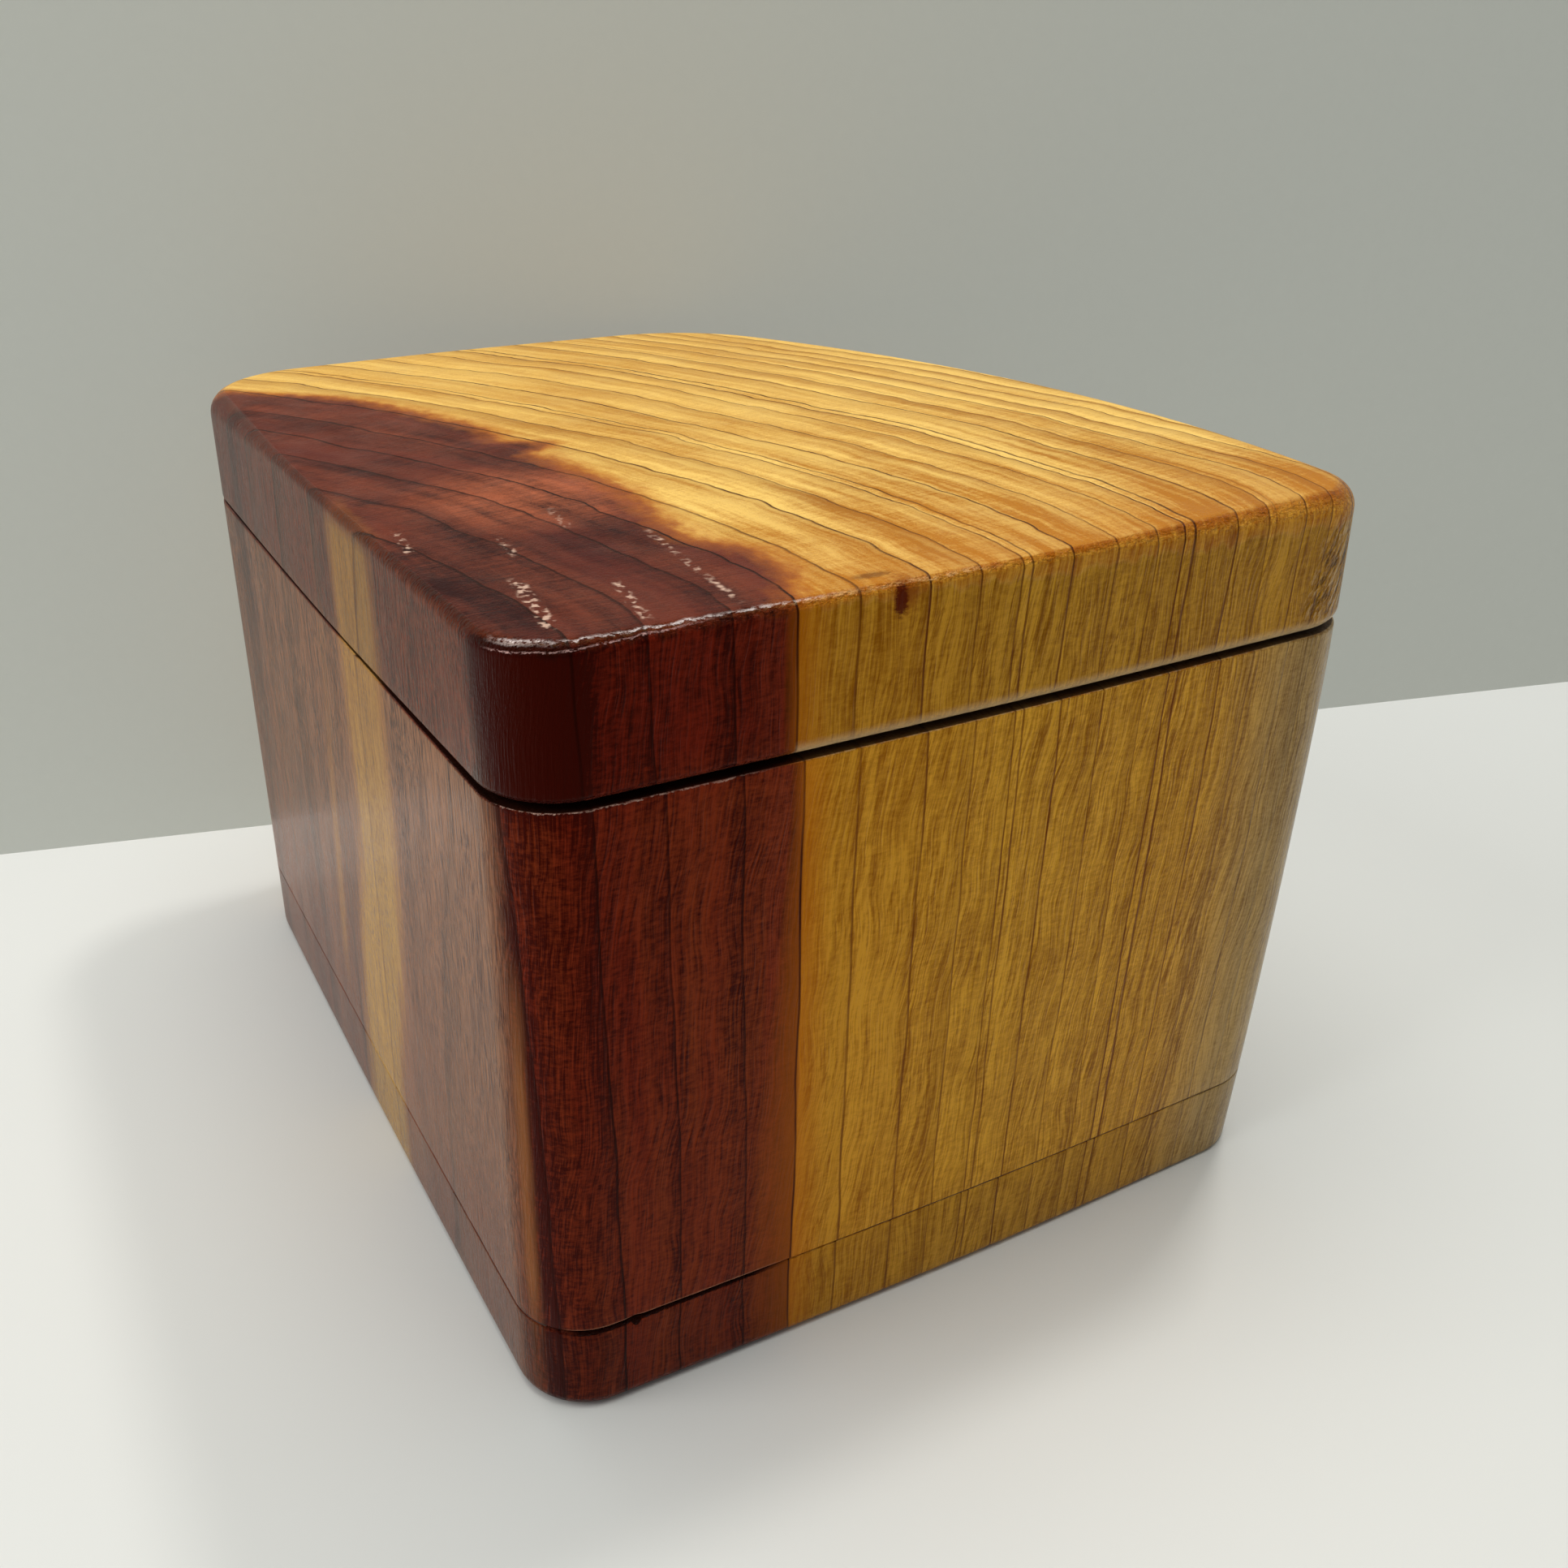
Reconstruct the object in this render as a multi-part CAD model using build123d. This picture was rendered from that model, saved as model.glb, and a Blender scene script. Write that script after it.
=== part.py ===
from build123d import *
import os

# Cedar keepsake box cut from one block of trunk, in millimetres.
# The grain stands upright, so the top and the underside are end grain.
# A thin slice is glued back on as the floor, and a thicker one is the lift-off lid.

# Plan of the block, seen from above, measured to its corners before they are rounded.
# The front and left faces are sawn, and the right-hand side follows the bark in a long bow.
front_length = 115.0
block_depth = 143.5
back_length = 94.2
left_lean = 0.7
front_bow = 0.65
bark_bow = 14.3
back_bow = 1.3
left_bow = 0.4

# Upright corners of the block
front_corner_radius = 9.0
right_corner_radius = 11.5
back_corner_radius = 27.0
left_corner_radius = 18.5

# Slices of the block, from the table up
base_thickness = 12.9
glue_thickness = 0.15
ring_height = 69.35
lid_thickness = 17.6

# Hollow, sawn straight down through the block with a wall left all round
wall_thickness = 11.0
cavity_front_radius = 8.0
cavity_right_radius = 9.0
cavity_back_radius = 18.0
cavity_left_radius = 12.0

# Plug under the lid, which keeps the lid in place on the wall
plug_thickness = 9.0
plug_clearance = 0.45

# Edges eased by hand with sandpaper
lid_top_round = 2.4
lid_rim_round = 1.0
mouth_round = 0.5
ring_foot_round = 0.25
base_top_round = 0.25
base_foot_round = 1.4
plug_foot_round = 1.2

# Corners of the plan, anticlockwise from the one between the left and front faces
front_corner = Vector(0, 0)
right_corner = Vector(front_length, 0)
back_corner = Vector(back_length - left_lean, block_depth)
left_corner = Vector(-left_lean, block_depth)
plan_corners = [front_corner, right_corner, back_corner, left_corner]
side_bows = [front_bow, bark_bow, back_bow, left_bow]
block_radii = [front_corner_radius, right_corner_radius, back_corner_radius, left_corner_radius]
cavity_radii = [cavity_front_radius, cavity_right_radius, cavity_back_radius, cavity_left_radius]
plug_radii = [radius - plug_clearance for radius in cavity_radii]

# Levels of the two glue lines and of the seam between wall and lid
ring_foot = base_thickness + glue_thickness
seam = ring_foot + ring_height
plug_top = seam - glue_thickness
plug_foot = plug_top - plug_thickness
lid_top = seam + lid_thickness


def bowed_side(start, end, bow):
    """An arc from start to end whose middle stands out from the straight line by bow."""
    along = end - start
    outward = Vector(along.Y, -along.X).normalized()
    middle = (start + end) / 2 + outward * bow
    return Edge.make_three_point_arc(start, middle, end)


def rounded_plan(inset, radii):
    """The block's plan drawn in all round by inset, with each upright corner at its own radius."""
    ends = plan_corners[1:] + plan_corners[:1]
    plan = Face(Wire([bowed_side(*span) for span in zip(plan_corners, ends, side_bows)]))
    if inset:
        plan = offset(plan, amount=-inset, kind=Kind.INTERSECTION).face()
    for corner, radius in zip(plan_corners, radii):
        nearest = plan.vertices().sort_by_distance(corner)[0]
        plan = plan.fillet_2d(radius, [nearest])
    return plan


def slice_of(plan, foot, height):
    """The plan stood up as a solid slice from its foot level."""
    return Pos(0, 0, foot) * extrude(plan, amount=height)


def eased_top(solid, radius):
    """The slice with every edge of its upper face rounded."""
    return fillet(solid.faces().sort_by(Axis.Z)[-1].edges(), radius)


def eased_foot(solid, radius):
    """The slice with the outer edge of its lower face rounded."""
    return fillet(solid.faces().sort_by(Axis.Z)[0].outer_wire().edges(), radius)


block_plan = rounded_plan(0, block_radii)
cavity_plan = rounded_plan(wall_thickness, cavity_radii)
plug_plan = rounded_plan(wall_thickness + plug_clearance, plug_radii)
wall_plan = block_plan - cavity_plan


def base_slab():
    """Floor slice, eased at the glue line and where it meets the table."""
    solid = slice_of(block_plan, 0, base_thickness)
    return eased_foot(eased_top(solid, base_top_round), base_foot_round)


def base_glue_line():
    """Film of hardened glue that holds the floor slice under the wall."""
    return slice_of(wall_plan, base_thickness, glue_thickness)


def body_ring():
    """Wall of the box, a closed ring with its mouth eased inside and out."""
    solid = slice_of(wall_plan, ring_foot, ring_height)
    return eased_foot(eased_top(solid, mouth_round), ring_foot_round)


def lid_slab():
    """Lid slice, softly rounded on top and eased where it sits on the wall."""
    solid = slice_of(block_plan, seam, lid_thickness)
    return eased_foot(eased_top(solid, lid_top_round), lid_rim_round)


def plug_glue_line():
    """Film of hardened glue between the lid and its plug."""
    return slice_of(plug_plan, plug_top, glue_thickness)


def lid_plug():
    """Plug sawn from the hollow's waste, which drops inside the wall with the lid."""
    return eased_foot(slice_of(plug_plan, plug_foot, plug_thickness), plug_foot_round)


# The origin is under the middle of the block, on the table
centre = block_plan.bounding_box().center()
to_origin = Pos(-centre.X, -centre.Y, 0)
os.makedirs("parts", exist_ok=True)
for make in [base_slab, base_glue_line, body_ring, lid_slab, plug_glue_line, lid_plug]:
    piece = to_origin * make()
    piece.label = make.__name__
    export_step(piece, f"parts/{piece.label}.step")

print("block", block_plan.bounding_box().size, "origin from the front corner", centre)
print("cavity", (to_origin * cavity_plan).bounding_box().size, "floor", ring_foot, "seam", seam)
print("plug foot", plug_foot, "top", lid_top)
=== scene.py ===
import math

import bpy
import numpy as np
from mathutils import Matrix, Vector


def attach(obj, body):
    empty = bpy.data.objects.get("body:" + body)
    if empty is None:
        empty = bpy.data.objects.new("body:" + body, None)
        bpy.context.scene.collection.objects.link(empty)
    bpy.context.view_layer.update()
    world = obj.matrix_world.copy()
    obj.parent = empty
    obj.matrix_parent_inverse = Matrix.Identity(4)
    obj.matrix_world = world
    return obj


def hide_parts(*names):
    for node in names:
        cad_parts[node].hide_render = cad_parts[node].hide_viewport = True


# Cedar keepsake box: block of aromatic cedar in three slices, varnished outside and bare inside.
# Sizes are in millimetres and become metres where a mesh, lamp or camera is made.
MM = 0.001

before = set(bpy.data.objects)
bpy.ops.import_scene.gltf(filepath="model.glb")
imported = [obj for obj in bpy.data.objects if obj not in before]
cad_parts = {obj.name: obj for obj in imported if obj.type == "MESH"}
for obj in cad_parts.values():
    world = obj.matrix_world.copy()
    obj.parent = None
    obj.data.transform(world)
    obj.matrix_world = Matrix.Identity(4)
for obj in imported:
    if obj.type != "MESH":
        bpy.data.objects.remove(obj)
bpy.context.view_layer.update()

# Plan of the block, measured from the sharp front corner, as in the CAD
plan_corners = np.array([[0.0, 0.0], [115.0, 0.0], [93.5, 143.5], [-0.7, 143.5]])
side_bows = np.array([0.65, 14.3, 1.3, 0.4])
block_radii = np.array([9.0, 11.5, 27.0, 18.5])
cavity_radii = np.array([8.0, 9.0, 18.0, 12.0])
wall_thickness = 11.0
block_origin = np.array([59.838, 72.075])

# Levels of the slices, from the table up
floor_top = 12.9
wall_foot = 13.05
seam = 82.4
lid_top = 100.0

# Points along each corner and each side of the plan
corner_points = [44, 44, 60, 52]
side_points = [230, 290, 170, 270]


def side_circles():
    """Centre and radius of the arc of each side, from its chord and how far the arc bows out of it."""
    chord = np.roll(plan_corners, -1, axis=0) - plan_corners
    length = np.hypot(chord[:, 0], chord[:, 1])
    outward = np.stack([chord[:, 1], -chord[:, 0]], axis=1) / length[:, None]
    radius = length**2 / (8 * side_bows) + side_bows / 2
    centre = plan_corners + chord / 2 - outward * (radius - side_bows)[:, None]
    return centre, radius


def corner_centres(centre, radius, rounding):
    """Centre of each corner's arc: where the circles of its two sides, drawn in by the rounding, cross near
    that corner."""
    first, second = np.roll(centre, 1, axis=0), centre
    first_radius, second_radius = np.roll(radius, 1) - rounding, radius - rounding
    between = second - first
    gap = np.hypot(between[:, 0], between[:, 1])
    unit = between / gap[:, None]
    along = (gap**2 + first_radius**2 - second_radius**2) / (2 * gap)
    aside = np.sqrt(first_radius**2 - along**2)
    across = np.stack([-unit[:, 1], unit[:, 0]], axis=1) * aside[:, None]
    options = np.stack([first + unit * along[:, None] + across, first + unit * along[:, None] - across])
    distance = np.hypot(*(options - plan_corners).transpose(2, 0, 1))
    return options[distance.argmin(axis=0), np.arange(len(centre))]


def arc(centre, radius, start, end, count):
    """Points of an anticlockwise arc between two directions, with the outward direction at each."""
    first, last = (math.atan2(d[1], d[0]) for d in (start, end))
    angle = first + np.linspace(0, 1, count, endpoint=False) * ((last - first) % (2 * math.pi))
    outward = np.stack([np.cos(angle), np.sin(angle)], axis=1)
    return centre + radius * outward, outward


def plan_path(inset, rounding):
    """The rounded plan drawn in by inset: at each corner an arc about its centre, and then the bowed side."""
    centre, radius = side_circles()
    radius = radius - inset
    turn = corner_centres(centre, radius, rounding)
    spans = []
    for i in range(4):
        before, after = turn[i] - centre[i - 1], turn[i] - centre[i]
        spans.append(arc(turn[i], rounding[i], before, after, corner_points[i]))
        ahead = turn[(i + 1) % 4] - centre[i]
        spans.append(arc(centre[i], radius[i], after, ahead, side_points[i]))
    points, outward = (np.concatenate(parts) for parts in zip(*spans))
    return points, outward


outer, outer_out = plan_path(0.0, block_radii)
inner, inner_out = plan_path(wall_thickness, cavity_radii)
steps = np.hypot(*(np.roll(outer, -1, axis=0) - outer).T)
perimeter = steps.sum()
along = np.concatenate([[0], np.cumsum(steps)[:-1]]) / perimeter

# Station round the block: 0 front corner, 1 middle of the front, 2 right corner, 3 bark side, 4 back
# corner, and so on
corner_share = 0.2
station = np.concatenate([
    span
    for i in range(4)
    for span in (
        np.linspace(2 * i - corner_share, 2 * i + corner_share, corner_points[i], endpoint=False),
        np.linspace(2 * i + corner_share, 2 * i + 2 - corner_share, side_points[i], endpoint=False),
    )
])


def around(values):
    """A size that changes gently round the block: given at the eight stations, and eased between them by
    three times the share squared, less twice the share cubed."""
    closed = np.array(list(values) + [values[0]], float)
    low = np.floor(station).astype(int) % 8
    share = station - np.floor(station)
    eased = share * share * (3 - 2 * share)
    return closed[low] * (1 - eased) + closed[low + 1] * eased


def waves(up, seed, height, turns, count=9, slant=40):
    """A closed sum of sine waves round the block, which slant by up to one wave in 40 mm of height, like
    the faint hollows of hand sanding."""
    random = np.random.default_rng(seed)
    total = np.zeros(np.broadcast(along, up).shape)
    for _ in range(count):
        rounds = random.integers(turns[0], turns[1])
        rise = random.uniform(-1, 1) / slant
        phase = random.uniform(0, 2 * math.pi)
        total = total + np.sin(2 * math.pi * (rounds * along + rise * up) + phase)
    return total * height / math.sqrt(count)


def chips(places, seed, roughness):
    """Tear-out along an edge: random numbers, averaged over five points and cut off below, with a bell
    curve at each place, which gives a point of the plan, half width and depth."""
    random = np.random.default_rng(seed)
    ragged = np.convolve(random.random(len(outer) + 4), np.ones(5) / 5, "valid")
    cut_off, gain = 0.45, 4
    total = roughness * np.clip(ragged - cut_off, 0, 1) * gain
    for spot, half, depth in places:
        distance = np.hypot(*(outer - np.array(spot)).T)
        total = total + depth * np.exp(-((distance / half) ** 2))
    return total


def lean(level):
    """How far the bark side stands in from the plan at a level: a power of the depth below the seam, most
    at the foot, and a little more at the seam, which dies out downwards."""
    below = np.clip(seam - level, 0, seam)
    foot = around([0, 0.1, 1.0, 1.2, 0.6, 0.3, 0, 0]) * (below / seam) ** 2.5
    return foot + around([0, 0, 0.5, 0.3, 0, 0, 0, 0]) * np.exp(-below / 14)


def ring_of(inset, level, path=outer, outward=outer_out):
    """One closed line of a piece: the plan drawn in by inset, at a level."""
    flat = path - outward * np.broadcast_to(inset, along.shape)[:, None]
    return np.column_stack([flat, np.broadcast_to(level, along.shape)])


def disc_rows(edge, count):
    """Lines that grow from the middle of an edge line towards it, so that they fill a face, and that
    middle."""
    middle = edge.mean(axis=0)
    return [middle + (edge - middle) * share for share in np.linspace(0, 1, count + 1)[1:-1]], middle


def put_mesh(name, rows, material_rows, materials, poles=None):
    """Makes a piece of closed lines joined by quads. With poles it is closed by a fan at each end, and
    without them the last line joins the first, as in a ring. Material_rows gives the material of each band
    of quads."""
    count, size = len(rows), len(along)
    points = np.concatenate(rows)
    if poles is not None:
        points = np.concatenate([points, poles])
    points = points - np.array([*block_origin, 0])
    around_index = np.arange(size)
    next_index = (around_index + 1) % size
    upper = np.arange(count - 1 if poles is not None else count)
    lower = (upper + 1) % count
    quads = np.stack([
        upper[:, None] * size + around_index,
        lower[:, None] * size + around_index,
        lower[:, None] * size + next_index,
        upper[:, None] * size + next_index,
    ], axis=-1).reshape(-1, 4)
    faces = quads.tolist()
    kinds = np.repeat(material_rows, size).tolist()
    if poles is not None:
        first, last = count * size, count * size + 1
        faces += np.stack([np.full(size, first), around_index, next_index], axis=-1).tolist()
        tail = (count - 1) * size
        faces += np.stack([np.full(size, last), tail + next_index, tail + around_index], axis=-1).tolist()
        kinds += [material_rows[0]] * size + [material_rows[-1]] * size
    mesh = bpy.data.meshes.new(name)
    mesh.from_pydata((points * MM).tolist(), [], faces)
    for material in materials:
        mesh.materials.append(material)
    mesh.polygons.foreach_set("material_index", kinds)
    mesh.polygons.foreach_set("use_smooth", [True] * len(faces))
    mesh.update()
    piece = bpy.data.objects.new(name, mesh)
    bpy.context.scene.collection.objects.link(piece)
    return piece


def linear(code):
    """An sRGB hex colour as the linear red, green, blue and alpha that a shader takes."""
    shares = [int(code[i:i + 2], 16) / 255 for i in (1, 3, 5)]
    return tuple(c / 12.92 if c <= 0.04045 else ((c + 0.055) / 1.055) ** 2.4 for c in shares) + (1.0,)


def add(tree, kind, inputs=(), points=(), **settings):
    """Adds a shader node with its settings, fills its inputs in order or by name with values or links,
    and lays a curve through its points if it has one."""
    node = tree.nodes.new("ShaderNode" + kind)
    for key, value in settings.items():
        setattr(node, key, value)
    if points:
        line = node.mapping.curves[0].points
        while len(line) < len(points):
            line.new(0.5, 0.5)
        for knot, place in zip(line, points):
            knot.location = place
            knot.handle_type = "VECTOR"
        node.mapping.update()
    usable = [socket for socket in node.inputs if socket.enabled]
    named = inputs.items() if isinstance(inputs, dict) else enumerate(inputs)
    for key, value in named:
        socket = usable[key] if isinstance(key, int) else node.inputs[key]
        if isinstance(value, bpy.types.Node):
            value = next(out for out in value.outputs if out.enabled)
        if isinstance(value, bpy.types.NodeSocket):
            tree.links.new(value, socket)
        elif value is not None:
            socket.default_value = value
    return node


def new_material(name):
    """An empty material, and the function that adds nodes to it."""
    material = bpy.data.materials.new(name)
    material.use_nodes = True
    material.node_tree.nodes.clear()
    return material, lambda *parts, **settings: add(material.node_tree, *parts, **settings)


# Growth rings: distance of each late-wood line from the pith, with how dark it is, how brown the wood
# before it is, and how dark a second line just outside it is
pith = (-153.0, 14.0)
rings = [
    (144.0, 0.5, 0.2, 0.0), (152.5, 0.6, 0.2, 0.0), (160.6, 0.9, 0.5, 0.0), (168.6, 0.7, 0.3, 0.0),
    (177.6, 0.8, 0.3, 0.0), (184.7, 1.0, 0.5, 0.0), (191.8, 0.75, 0.15, 0.0), (200.5, 0.85, 0.2, 0.0),
    (207.2, 0.7, 0.6, 0.0), (213.0, 0.75, 0.3, 0.9), (220.2, 0.9, 0.15, 0.0), (226.8, 0.65, 0.25, 0.0),
    (233.2, 0.7, 0.35, 0.0), (237.2, 1.0, 0.7, 1.0), (246.4, 0.9, 0.3, 0.0), (251.8, 0.6, 0.75, 0.4),
    (257.8, 0.9, 0.45, 0.0), (262.1, 0.8, 0.9, 0.0), (266.5, 0.9, 0.6, 0.0), (270.3, 0.85, 0.8, 0.0),
    (274.2, 0.8, 0.7, 0.0), (279.0, 0.7, 0.5, 0.0), (284.0, 0.7, 0.5, 0.0),
]
ring_low, ring_high = rings[0][0], rings[-1][0]
ring_count = len(rings) - 1
ring_curve = [((ring[0] - ring_low) / (ring_high - ring_low), i / ring_count) for i, ring in enumerate(rings)]
line_curve, late_curve, twin_curve = (
    [(i / ring_count, ring[part]) for i, ring in enumerate(rings)] for part in (1, 2, 3)
)

# Edge of the red heartwood across the top, as (distance from the front face, distance from the left face)
heart_edge = [
    (0, 31.4), (2, 32.6), (7, 35.5), (13, 36.2), (17, 35.5), (22, 31.5), (28, 32.0), (42, 33.6),
    (52, 33.0), (64.5, 31.0), (66.0, 30.2), (69.2, 34.6), (71.5, 34.2), (74.5, 29.4), (82, 30.0),
    (89.5, 27.5), (108, 21.0), (116, 15.0), (128, 2.5), (134, -4.0), (146, -14.0),
]
edge_length, edge_reach, edge_base = 150.0, 60.0, 20.0
heart_curve = [(y / edge_length, (x + edge_base) / edge_reach) for y, x in heart_edge]

# Places on the front where the gold is lightest: middle, one over the half width and height, and how much
# lighter
light_patches = [((41, 0, 44), (1 / 9, 0, 1 / 36), -0.24), ((104, 0, 26), (1 / 12, 0, 1 / 26), -0.16)]

# Rows of open pores on the dark end grain, with painted glints where they catch the light: start and end
# across the top, half width and share
glint_fleck_rows = [
    ((7.0, 4.0), (9.0, 19.0), 0.5, 1.0), ((16.0, 2.0), (18.0, 14.0), 0.4, 0.6),
    ((26.0, 2.0), (28.4, 28.0), 0.35, 0.45), ((21.0, 33.0), (22.0, 41.0), 0.35, 0.4),
    ((2.2, 32.0), (3.2, 41.0), 0.4, 0.7), ((12.0, 26.0), (12.6, 33.0), 0.3, 0.5),
]

# Painted highlights along the front edges: broken pale lines that stand in for the lamp's glint on the film's
# rounded edges. Each gives its level, how far it falls in a millimetre, half width, where it ends, whether it
# starts late and single fibres of it carry on, and its colour
painted_highlight_lines = [
    (99.72, 0.0, 0.24, 52, True, "#ecb878"), (99.8, 0.0, 0.12, 31, False, "#fff0ec"),
    (99.62, 0.0, 0.26, 1.0, False, "#fae4dc"), (98.85, 0.035, 0.12, 18, False, "#f0c0b8"),
    (82.36, 0.0, 0.1, 24, False, "#e0b8a4"),
]

# Pin knot in the lid's front edge, a dark red pip that runs down the face with an orange stain round it:
# middle, stretch, where each mark ends and where it is full, its share and its colour
knot_marks = [
    ((43.9, -0.3, 98.6), (0.42, 0.3, 0.42), 1.2, 0.2, 0.8, "#84400a"),
    ((43.2, -0.3, 98.0), (1.05, 0.6, 0.5), 1.1, 0.6, 0.9, "#4c0802"),
    ((41.5, 2.6, 100.0), (0.3, 0.9, 1.0), 1.0, 0.3, 0.7, "#6c3c0c"),
]

# Height in metres of one unit of relief, about the depth of an open cedar fibre
relief_unit = 0.00003


def cedar(name, drift, palettes, film):
    """Aromatic cedar as one solid block: growth rings about a pith to the left of the box, red heart and
    golden sap. Drift says how the rings shift in this slice against the lid's top: (shift, shrink, from
    level, shift and shrink a mm). Palettes are the colours along the grain and across its end, or one for
    bare wood. Film is how dull the surface is on each, with the index of refraction."""
    material, node = new_material(name)
    varnished_wood = len(palettes) > 1

    # Place in the block, in millimetres from its sharp front corner and from the table
    surface = node("TexCoord")
    place, to_mm = surface.outputs["Object"], (1 / MM, 1 / MM, 1 / MM)
    spot = node("VectorMath", [place, to_mm, (*block_origin, 0)], operation="MULTIPLY_ADD")
    x, y, z = node("SeparateXYZ", [spot]).outputs
    facing = node("SeparateXYZ", [surface.outputs["Normal"]]).outputs[2]
    upright = node("Math", [facing], operation="ABSOLUTE")
    end_grain = node("MapRange", [upright, 0.40, 0.90], interpolation_type="SMOOTHSTEP")
    on_face = node("Math", [1.0, end_grain], operation="SUBTRACT")

    def figure(at, stretch, detail, roughness, low=-1, high=1, clamp=False):
        """A soft noise over a point, spread between two values. Stretch is one over the size of its grain in
        millimetres, along each axis."""
        at = node("VectorMath", [at, stretch], operation="MULTIPLY")
        cloud = node("TexNoise", [at, 1.0, detail, roughness])
        return node("MapRange", [cloud, 0.25, 0.75, low, high], clamp=clamp)

    def swayed(value, *figures):
        """A value with each figure added to it by its weight."""
        for part, weight in figures:
            value = node("Math", [part, weight, value], operation="MULTIPLY_ADD")
        return value

    def faded(value, *parts):
        """A value times each part. A part is another value, or a fade by place: along what, where there is
        none and where there is all, and then the least and the most if they aren't 0 and 1."""
        for part in parts:
            part = node("MapRange", part) if isinstance(part, tuple) else part
            value = node("Math", [value, part], operation="MULTIPLY")
        return value

    def near(value, middle, far, close, share, fall="SMOOTHSTEP"):
        """How near a value is to a middle: nothing from far on, and the whole share within close."""
        if middle:
            value = node("Math", [value, middle], operation="SUBTRACT")
        value = node("Math", [value], operation="ABSOLUTE")
        return node("MapRange", [value, far, close, 0, share], interpolation_type=fall)

    def away(middle, stretch):
        """Distance from a middle, with each axis stretched by so much."""
        offset = node("VectorMath", [spot, middle], operation="SUBTRACT")
        offset = node("VectorMath", [offset, stretch], operation="MULTIPLY")
        return node("VectorMath", [offset], operation="LENGTH")

    def by_grain(face, end):
        """One value on the faces, which turns into another over the end grain."""
        return node("MapRange", [end_grain, 0, 1, face, end])

    # The rings lean a little, so each slice shows them shifted
    shift, shrink, from_level, shift_mm, shrink_mm = drift
    below = node("Math", [from_level, z], operation="SUBTRACT")
    scale = swayed(-shrink, (below, -shrink_mm))
    moved = swayed(shift, (below, shift_mm), (scale, x))
    x_ring = node("Math", [x, moved], operation="SUBTRACT")
    flat = node("CombineXYZ", [x_ring, y, 0])

    # Distance from the pith, with the bends that the rings have at the back and at the front, and smaller
    # ones
    reach = node("VectorMath", [flat, (*pith, 0)], operation="DISTANCE")
    inside = node("Math", [240.0, reach], operation="SUBTRACT")
    inside = node("Math", [inside, 0.0], operation="MAXIMUM")
    backward = node("MapRange", [y, 0, 100, 0, 8 / 55], interpolation_type="SMOOTHSTEP")
    front_turn = node("MapRange", [reach, 200, 250, 0, 3.3])
    near_front = node("MapRange", [y, 14, 0])
    near_front = node("Math", [near_front, 2.0], operation="POWER")
    slow = figure(spot, (1 / 50, 1 / 24, 1 / 260), 2.5, 0.55, -1.2, 1.2, True)
    off_front = node("MapRange", [y, 2, 26, 0.12, 1])
    bent = swayed(reach, (inside, backward), (front_turn, near_front), (slow, off_front))
    quiver = figure(spot, (1 / 11, 1 / 6, 1 / 24), 2.5, 0.5, -0.42, 0.42, True)
    distance = node("Math", [bent, quiver], operation="ADD")

    # Which ring it is and how far through, the dark line at its end and the brown late wood before that
    ring_share = node("MapRange", [distance, ring_low, ring_high])
    count = node("FloatCurve", [1.0, ring_share], points=ring_curve)
    count = node("Math", [count, float(ring_count)], operation="MULTIPLY")
    through = node("Math", [count], operation="FRACT")
    picks = []
    for rounding, knots in (("ROUND", line_curve), ("CEIL", late_curve), ("FLOOR", twin_curve)):
        ring = node("Math", [count], operation=rounding)
        ring = node("Math", [ring, float(ring_count)], operation="DIVIDE")
        picks.append(node("FloatCurve", [1.0, ring], points=knots))
    darkness, lateness, twinning = picks
    line = node("MapRange", [through, by_grain(0.952, 0.94), 0.982], interpolation_type="SMOOTHSTEP")
    after = node("MapRange", [through, 0.0, 0.016, 0.7, 0], interpolation_type="SMOOTHSTEP")
    line = faded(node("Math", [line, after], operation="MAXIMUM"), darkness)
    twin = faded(near(through, 0.178, 0.034, 0.008, 0.9), twinning)
    line = node("Math", [line, twin], operation="MAXIMUM")
    broken = figure(spot, (1 / 5, 1 / 6, 1 / 18), 3.0, 0.6, 0.55, 1.3, True)
    line = node("Math", [line, broken], operation="MULTIPLY", use_clamp=True)
    late = faded(node("Math", [through, 1.8], operation="POWER"), (lateness, 0, 1, 0.35, 1))
    late_edge = node("Math", [through, 6.0], operation="POWER")

    # Streaks that follow the rings round the block and the grain up it, about 1 mm wide, and bands about 5
    # mm wide
    bearing = node("VectorMath", [flat, (*pith, 0)], operation="SUBTRACT")
    bearing = node("SeparateXYZ", [bearing]).outputs
    angle = node("Math", [bearing[1], bearing[0]], operation="ARCTAN2")
    sweep = node("Math", [angle, 9.0], operation="MULTIPLY")
    lane = node("CombineXYZ", [distance, sweep, z])
    streak = figure(lane, (0.75, 1.0, 1 / 110), 4.0, 0.62)
    bands = figure(lane, (0.22, 0.6, 1 / 160), 2.0, 0.5)

    # Fibres half a millimetre wide and hairs a quarter wide, which wander, and lean to the right as they
    # rise. Real ones are finer, but wouldn't show.
    wander = figure(spot, (1 / 16, 1 / 16, 1 / 26), 2.0, 0.5, -1.6, 1.6)
    leaning = node("Math", [swayed(x, (z, -0.09)), wander], operation="ADD")
    strand = node("CombineXYZ", [leaning, y, z])
    fibre = figure(strand, (2.0, 2.0, 1 / 16), 3.0, 0.66)
    hair = figure(strand, (4.2, 4.2, 1 / 6), 2.0, 0.6)
    clouds = figure(strand, (1 / 4, 1 / 4, 1 / 14), 3.0, 0.55)

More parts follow.
